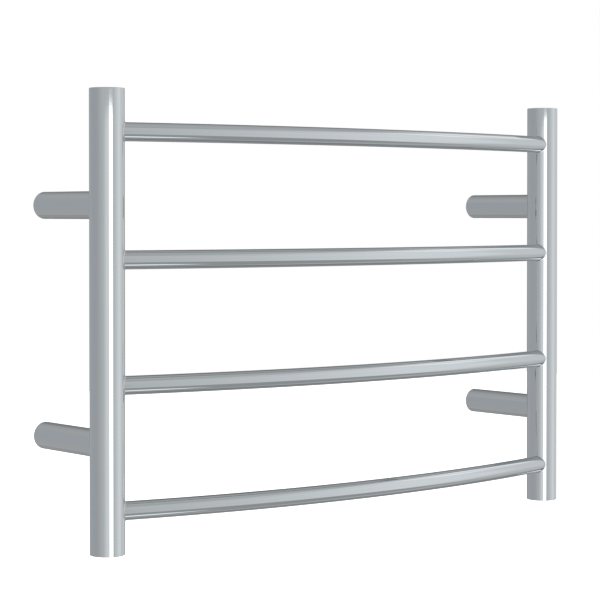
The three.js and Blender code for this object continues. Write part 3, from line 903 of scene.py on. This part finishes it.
def cableRoute():
    up, forwards = Vector((0, 0, 1)), Vector((0, -1, 0))
    crossY = postY - railSpec["setForward"]
    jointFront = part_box("cold_joint_sleeve")[0][1]
    startZ = -fixingZ
    points = [Vector((-postX, jointFront + cableSpec["inJoint"], startZ))]
    points += quarterBend(Vector((-postX, crossY, startZ)), forwards, -up)
    side, travel = -1, -up
    for i, height in enumerate(railHeights):
        inwards = -railDirection(side)
        points += quarterBend(Vector((side * postX, crossY, height)), travel, inwards)
        stretch = math.asin((postX - cableSpec["bendRoom"]) / bowRadius)
        for angle in np.linspace(side * stretch, -side * stretch, cableSpec["arcSteps"]):
            x, y = bowRadius * math.sin(angle), bowCentreY - bowRadius * math.cos(angle)
            points.append(Vector((x, y, height)))
        travel = -up if i == len(railHeights) - 1 else up
        points += quarterBend(Vector((-side * postX, crossY, height)), railDirection(-side), travel)
        side = -side
    points.append(Vector((side * postX, crossY, railHeights[-1] - cableSpec["drop"])))
    return points


def makeCable():
    curve = bpy.data.curves.new("heatingCable", "CURVE")
    curve.dimensions = "3D"
    curve.bevel_depth = cableSpec["radius"]
    curve.bevel_resolution = 6
    curve.use_fill_caps = True
    points = cableRoute()
    spline = curve.splines.new("POLY")
    spline.points.add(len(points) - 1)
    for point, place in zip(spline.points, points):
        point.co = (*place, 1)
    path = bpy.data.objects.new("cablePath", curve)
    scene.collection.objects.link(path)
    bpy.context.view_layer.update()
    mesh = bpy.data.meshes.new_from_object(path.evaluated_get(bpy.context.evaluated_depsgraph_get()))
    bpy.data.objects.remove(path)
    mesh.shade_smooth()
    mesh.set_sharp_from_angle(angle=math.radians(50))
    cable = linkObject("heating_cable_sheath", mesh, siliconeSheath)
    finishPiece(cable, "rack", "silicone_sheath", "heating_cable")


makeCable()
print("cable made")


# ---- finishes for the CAD pieces that stay as they are

finishes = {
    "cable_end_seal": heatShrink,
    "cold_joint_sleeve": heatShrink,
    "terminal_block": nylon,
    "earth_terminal_screw": screwSteel,
    "neutral_terminal_screw": screwSteel,
    "live_terminal_screw": screwSteel,
    "live_wire": brownPvc,
    "cutout_wire": brownPvc,
    "neutral_wire": bluePvc,
    "earth_wire": greenPvc,
    "thermal_cutout": tinnedBrass,
    "earth_tag": tinnedBrass,
    "earth_stud": screwSteel,
    "earth_nut": screwSteel,
}
for nodeName, material in finishes.items():
    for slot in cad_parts[nodeName].material_slots:
        slot.material = material
print("finishes set on", len(finishes), "CAD pieces")


# ---- floor, studio light and camera

floorSpec = {"drop": 0.6, "size": 14.0}  # metres, as in the other sizes here
# angles are in degrees, to the right of straight in front and upwards
softboxSpec = {
    "distance": 2.06,
    "azimuth": -14.0,
    "top": 0.305,
    "bottom": -2.0,
    "brightness": 2.3,
    # across the panel, by azimuth: a soft flank, the bright panel itself, and its dark frame
    "levels": [(-62, 0.67), (-52, 0.78), (-44, 0.92), (-28, 0.98), (-25.5, 2.3), (-3.5, 2.3),
               (-3.1, 0.6), (0.8, 0.66)],
}
# a low lamp in front, which draws a short bright line under the rails' left ends
lampSpec = {"azimuth": 29, "elevation": -58, "edge": 9, "core": 3.5, "brightness": 0.9}
# levels round the room, as (azimuth in degrees, brightness, blueness), from the floor up, and
# the elevations between which each level takes over from the one below
roomLevels = [
    (None, None, [
        (-180, 0.52, 0), (-90, 0.5, 0), (-20, 0.43, 0.01), (60, 0.42, 0.01), (80, 0.62, 0),
        (90, 0.48, 0), (101, 0.3, 0), (116, 0.33, 0), (140, 0.42, 0),
    ]),
    (-32, -24, [
        (-180, 0.52, 0), (-100, 0.52, 0), (-62, 0.66, 0), (6, 0.68, 0), (20, 0.77, 0), (48, 1.0, 0),
        (58, 0.95, 0), (66, 0.72, 0), (80, 0.7, 0), (102, 0.8, 0), (113, 0.5, 0), (124, 0.33, 0),
        (146, 0.2, 0), (174, 0.5, 0),
    ]),
    (-20, -4, [
        (-180, 0.52, 0.01), (-150, 0.52, 0.03), (-122, 0.51, 0.03), (-100, 0.52, 0), (-62, 0.66, 0),
        (6, 0.68, 0), (20, 0.77, 0), (48, 1.0, 0), (61, 0.99, 0), (68, 0.85, 0), (90, 0.82, 0),
        (102, 0.9, 0), (113, 0.5, 0), (124, 0.33, 0), (146, 0.2, 0), (160, 0.34, 0), (174, 0.5, 0),
    ]),
    (26, 31, [
        (-180, 0.52, 0), (30, 0.74, 0), (54, 0.94, 0), (63, 0.98, 0), (68, 1.26, 0), (72, 1.26, 0),
        (77, 0.98, 0), (84, 0.98, 0), (90, 1.2, 0), (97, 1.2, 0), (107, 0.7, 0), (128, 0.3, 0),
        (137, 0.18, 0), (150, 0.34, 0), (175, 0.5, 0),
    ]),
    (40, 49, [(-180, 0.51, 0), (20, 0.55, 0), (60, 0.61, 0), (100, 0.54, 0), (140, 0.44, 0)]),
]


def directionOf(azimuth, elevation=0):
    # degrees to the right of straight in front, and upwards
    turn, tilt = math.radians(azimuth), math.radians(elevation)
    return Vector((math.sin(turn) * math.cos(tilt), -math.cos(turn) * math.cos(tilt), math.sin(tilt)))


def addFloor():
    half = floorSpec["size"] / 2
    z = cadLow[2] - floorSpec["drop"]
    square = [(-half, -half, z), (half, -half, z), (half, half, z), (-half, half, z)]
    floor = bpy.data.meshes.new("floor")
    floor.from_pydata(square, [], [(0, 1, 2, 3)])
    material, tree, shader = newMaterial("paleFloor")
    shader.inputs["Base Color"].default_value = linearColour("#f4f4f4")
    shader.inputs["Roughness"].default_value = 0.9
    shader.inputs["Emission Color"].default_value = (1, 1, 1, 1)
    shader.inputs["Emission Strength"].default_value = 1.0
    obj = linkObject("floor", floor, material)
    obj.visible_glossy = False


def addSoftbox():
    # a tall white panel whose left side fades off, seen in the posts as their bright stripe
    spec = softboxSpec
    towards = directionOf(spec["azimuth"])
    across = Vector((-towards.y, towards.x, 0))
    centre = towards * spec["distance"] + Vector((0, postY, 0))
    reaches = [math.tan(math.radians(a - spec["azimuth"])) * spec["distance"] for a, _ in spec["levels"]]
    left, right = reaches[0], reaches[-1]
    points = [centre + across * s + Vector((0, 0, z)) for s, z in (
        (left, spec["bottom"]), (right, spec["bottom"]), (right, spec["top"]), (left, spec["top"]),
    )]
    mesh = bpy.data.meshes.new("softbox")
    mesh.from_pydata(points, [], [(0, 1, 2, 3)])
    layer = mesh.uv_layers.new(name="across")
    for loop, u in zip(layer.data, (0, 1, 1, 0)):
        loop.uv = (u, 0.5)
    material = bpy.data.materials.new("softboxPanel")
    material.use_nodes = True
    tree = material.node_tree
    tree.nodes.clear()
    uv = addNode(tree, "ShaderNodeUVMap", uv_map="across")
    parts = addNode(tree, "ShaderNodeSeparateXYZ", {"Vector": uv.outputs["UV"]})
    ramp = addNode(tree, "ShaderNodeValToRGB", {"Fac": parts.outputs["X"]})
    full = spec["brightness"]
    stops = []
    for reach, (_, level) in zip(reaches, spec["levels"]):
        stops.append(((reach - left) / (right - left), (level / full, level / full, level / full, 1)))
    setRamp(ramp, stops)
    glow = addNode(tree, "ShaderNodeEmission", {"Color": ramp.outputs["Color"], "Strength": full})
    addNode(tree, "ShaderNodeOutputMaterial", {"Surface": glow.outputs["Emission"]})
    obj = linkObject("softbox", mesh, material)
    obj.visible_camera = False


def grey(value, blue=0.0):
    return (value * (1 - blue), value, value * (1 + blue), 1)


def addStudio():
    # a soft grey room: lighter to the front right, darker below, white only to the camera
    world = bpy.data.worlds.new("studio")
    scene.world = world
    world.use_nodes = True
    tree = world.node_tree
    tree.nodes.clear()
    coords = addNode(tree, "ShaderNodeTexCoord")
    parts = addNode(tree, "ShaderNodeSeparateXYZ", {"Vector": coords.outputs["Generated"]})
    front = addNode(tree, "ShaderNodeMath", {0: parts.outputs["Y"], 1: -1.0}, operation="MULTIPLY")
    azimuth = addNode(tree, "ShaderNodeMath", {
        0: parts.outputs["X"], 1: front.outputs[0],
    }, operation="ARCTAN2")
    turn = addNode(tree, "ShaderNodeMapRange", {
        "Value": azimuth.outputs[0], "From Min": -math.pi, "From Max": math.pi,
    })
    room = None
    for low, high, levels in roomLevels:
        ramp = addNode(tree, "ShaderNodeValToRGB", {"Fac": turn.outputs["Result"]})
        setRamp(ramp, [((a + 180) / 360, grey(v, b)) for a, v, b in levels])
        if room is None:
            room = ramp.outputs["Color"]
            continue
        rise = addNode(tree, "ShaderNodeMapRange", {
            "Value": parts.outputs["Z"],
            "From Min": math.sin(math.radians(low)), "From Max": math.sin(math.radians(high)),
        }, interpolation_type="SMOOTHSTEP")
        blend = addNode(tree, "ShaderNodeMix", data_type="RGBA")
        for index, value in ((0, rise.outputs["Result"]), (6, room), (7, ramp.outputs["Color"])):
            tree.links.new(value, blend.inputs[index])
        room = blend.outputs[2]
    lampAt = directionOf(lampSpec["azimuth"], lampSpec["elevation"])
    facing = addNode(tree, "ShaderNodeVectorMath", {
        0: coords.outputs["Generated"], 1: lampAt,
    }, operation="DOT_PRODUCT")
    lamp = addNode(tree, "ShaderNodeMapRange", {
        "Value": facing.outputs["Value"],
        "From Min": math.cos(math.radians(lampSpec["edge"])),
        "From Max": math.cos(math.radians(lampSpec["core"])),
        "To Max": lampSpec["brightness"],
    }, interpolation_type="SMOOTHSTEP")
    lit = addNode(tree, "ShaderNodeVectorMath", {0: room, 1: lamp.outputs["Result"]}, operation="ADD")
    inRoom = addNode(tree, "ShaderNodeBackground", {"Color": lit.outputs["Vector"], "Strength": 1.0})
    plain = addNode(tree, "ShaderNodeBackground", {"Color": (1, 1, 1, 1), "Strength": 1.0})
    rays = addNode(tree, "ShaderNodeLightPath")
    shown = addNode(tree, "ShaderNodeMixShader", {
        "Fac": rays.outputs["Is Camera Ray"], 1: inRoom.outputs[0], 2: plain.outputs[0],
    })
    addNode(tree, "ShaderNodeOutputWorld", {"Surface": shown.outputs[0]})


cameraSpec = {
    "azimuth": 39.238,  # degrees left of straight in front
    "elevation": 0.938,
    "distance": 2000 * mm,
    "aim": (-20.1 * mm, 14.6 * mm, 64.7 * mm),  # from the middle of the rack
    "lens": 120.27,
    "shiftDown": 0.0896,
}


def addCamera():
    spec = cameraSpec
    data = bpy.data.cameras.new("camera")
    data.lens = spec["lens"]
    data.sensor_width = 36
    data.shift_y = -spec["shiftDown"]
    data.clip_start, data.clip_end = 0.05, 50
    camera = bpy.data.objects.new("camera", data)
    scene.collection.objects.link(camera)
    back = directionOf(-spec["azimuth"], spec["elevation"])
    middle = (cadLow + cadHigh) / 2
    camera.location = middle + Vector(spec["aim"]) + back * spec["distance"]
    camera.rotation_mode = "QUATERNION"
    camera.rotation_quaternion = (-back).to_track_quat("-Z", "Y")
    scene.camera = camera


addFloor()
addSoftbox()
addStudio()
addCamera()
scene.view_settings.view_transform = "Standard"
print("studio ready")
